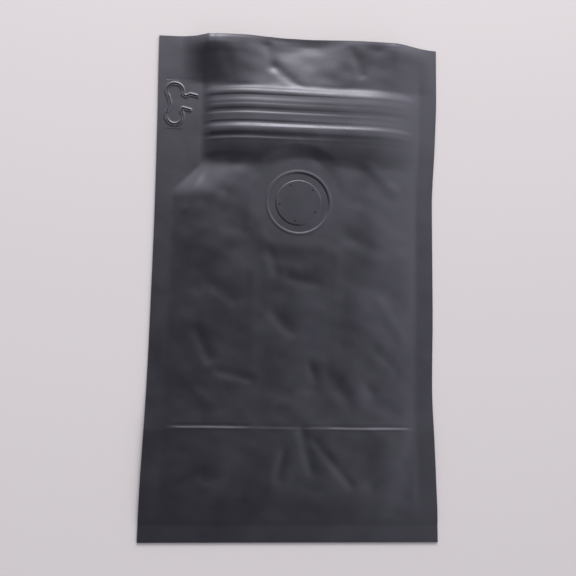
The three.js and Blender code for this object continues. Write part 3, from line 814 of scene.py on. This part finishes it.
# %% Back panel
BACK_PITCH = 2.5
u_grid, v_grid = np.meshgrid(lines((BAG_WIDTH, BACK_PITCH)), lines((BAG_LENGTH, BACK_PITCH)))
z_grid = np.full_like(u_grid, level(0))
back = film_sheet("back_film", u_grid, v_grid, z_grid, inner_film, outer_film, "back_panel")

# %% [markdown]
# A side gusset is one sheet folded inwards. Its back leaf lies on the back
# panel, the fold turns over, and the front leaf follows the front panel inside
# the seals and springs to half its height at the mouth. Each row of the grid is
# one cross-section, so the fold can grow rounder where there is room.

# %% Side gussets
LEAF_END, LEAF_PITCH, SETTLE_RUN = GUSSET_FOLD - 2, 0.7, 6
FOLD_ANGLES = np.radians(np.linspace(-90, 90, 15))
FREE_SHARE, FREE_RUN = 0.5, 8


def from_side(u, is_left):
    """Place across the bag of a distance from its left or right side."""
    return u if is_left else BAG_WIDTH - u


def leaf_height(u, v):
    share = 1 - FREE_SHARE * np.clip(inset(u, v) / FREE_RUN, 0, 1)
    return level(2) + folded_in(v) + mouth_lift(u, v) * share


def gusset_row(place, radius, is_left):
    """Cross-section: the flat back leaf, the round fold and the front leaf."""
    leaf_u = lines((LEAF_END, LEAF_PITCH)) * (GUSSET_FOLD - radius) / LEAF_END
    leaf_z = leaf_height(from_side(leaf_u, is_left), np.full_like(leaf_u, place))
    settle = smooth(leaf_u, GUSSET_FOLD - radius - SETTLE_RUN, GUSSET_FOLD - radius)
    leaf_z = leaf_z * (1 - settle) + (level(1) + 2 * radius) * settle
    fold_u = GUSSET_FOLD - radius + radius * np.cos(FOLD_ANGLES)
    fold_z = level(1) + radius * (1 + np.sin(FOLD_ANGLES))
    back_z = np.full(len(leaf_u) - 1, level(1))
    return (np.concatenate([leaf_u[:-1], fold_u, leaf_u[-2::-1]]),
            np.concatenate([back_z, fold_z, leaf_z[-2::-1]]))


def gusset_sheet(name, node, is_left):
    v = lines((8, 8), (FOLD_LINE + 6, 1), (ZIPPER_BASE - 6, 3), (BAG_LENGTH, 0.5))
    v = v[v > FOLD_LINE + 0.2]
    top = leaf_height(from_side(np.full_like(v, LEAF_END), is_left), v)
    rows = [gusset_row(place, radius, is_left) for place, radius in zip(v, (top - level(1)) / 2)]
    u_grid = from_side(np.array([row_u for row_u, _ in rows]), is_left)
    v_grid = np.repeat(v[:, None], u_grid.shape[1], axis=1)
    z_grid = np.array([row_z for _, row_z in rows])
    sheet = film_sheet(name, u_grid, v_grid, z_grid, inner_film, outer_film, node, flip=not is_left)
    return sheet


# %% [markdown]
# Below the crease each gusset's corner is tucked in with the bottom: two leaves
# and two triangular tucks, all flat. Each is a five-sided plate. A filled circle
# with five corners is moved into its outline and given the film's thickness.

# %% Tucks
TUCK_PLIES, TUCK_MARGIN = (1, 2, 5, 6), 0.3


def tuck_plates(name, is_left):
    corner = SIDE_SEAL + TUCK_START - BOTTOM_SEAL
    inner, low, high = GUSSET_FOLD - TUCK_MARGIN, FOLD_LINE - TUCK_MARGIN, FOLD_LINE + TUCK_MARGIN
    outline = [(0, TUCK_START), (corner, TUCK_START), (inner, low), (inner, high), (0, high)]
    for ply in TUCK_PLIES:
        bpy.ops.object.select_all(action="DESELECT")
        bpy.ops.mesh.primitive_circle_add(vertices=len(outline), fill_type="NGON")
        plate = bpy.context.object
        plate.name = f"{name}_{ply}"
        for vertex, (u, v) in zip(plate.data.vertices, outline):
            vertex.co = bag_point(float(drawn_in(from_side(u, is_left), v)), v, level(ply))
        plate.data.update()
        plate.data.materials.append(outer_film)
        thicken(plate)
        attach(plate, "pouch")
        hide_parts("left_gusset" if is_left else "right_gusset")
    print(name, len(TUCK_PLIES), "plates")


# %% [markdown]
# The pull tab's cut goes through the seal, and so through the left gusset too.

# %% Both sides
GUSSET_CUT_RADIUS = 0.36

for side, is_left in (("left", True), ("right", False)):
    sheet = gusset_sheet(f"{side}_gusset_film", f"{side}_gusset", is_left)
    if is_left:
        combine(sheet, tab_tube(GUSSET_CUT_RADIUS, level(2)))
    tuck_plates(f"{side}_tuck", is_left)

# %% [markdown]
# The CAD solids of the folded bottom, the zipper and the valve have their true
# shape already, so they only get materials: milky extruded plastic, moulded
# plastic, oiled rubber and filter paper. One function with a few settings makes
# them all.

# %% Materials of the pieces inside
FINER, PIECE_BUMP, PIECE_VARIES = 12, 0.4, 0.08


def plastic(name, color, shade, roughness, scale, bump_distance):
    material = bpy.data.materials.new(name)
    nodes, links = nodes_of(material)
    shader = nodes["Principled BSDF"]
    place = nodes.new("ShaderNodeTexCoord").outputs["Object"]
    cloud = noise(nodes, links, scale, 4, place)
    tone = mapped(nodes, links, cloud, 0, 1)
    links.new(mixed(nodes, links, tone, shade, color), shader.inputs["Base Color"])
    varied = mapped(nodes, links, cloud, roughness - PIECE_VARIES, roughness + PIECE_VARIES)
    links.new(varied, shader.inputs["Roughness"])
    fine = noise(nodes, links, scale * FINER, 3, place)
    add_bump(nodes, links, shader, fine, PIECE_BUMP, bump_distance)
    return material


milky = plastic("milky_tape", (0.74, 0.74, 0.72), (0.64, 0.64, 0.63), 0.32, 300, 0.00002)
moulded = plastic("moulded_grey", (0.034, 0.034, 0.036), (0.022, 0.022, 0.024), 0.42, 260, 0.00002)
rubber = plastic("brown_rubber", (0.33, 0.16, 0.08), (0.24, 0.11, 0.055), 0.5, 320, 0.00003)
paper = plastic("filter_paper", (0.88, 0.85, 0.78), (0.76, 0.73, 0.66), 0.85, 1400, 0.00005)
print("made", milky.name, moulded.name, rubber.name, paper.name)

# %% [markdown]
# Each material goes onto its solids. Nothing else about them is changed.

# %% Solids of the frame
FINISHES = [
    ("bottom_gusset", outer_film), ("zipper_lower_strip", milky), ("zipper_upper_strip", milky),
    ("valve_body", moulded), ("valve_cap", moulded), ("valve_disc", rubber), ("valve_filter", paper),
]
for node, material in FINISHES:
    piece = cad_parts[node]
    piece.data.materials.clear()
    piece.data.materials.append(material)
print("dressed", len(FINISHES), "solids")
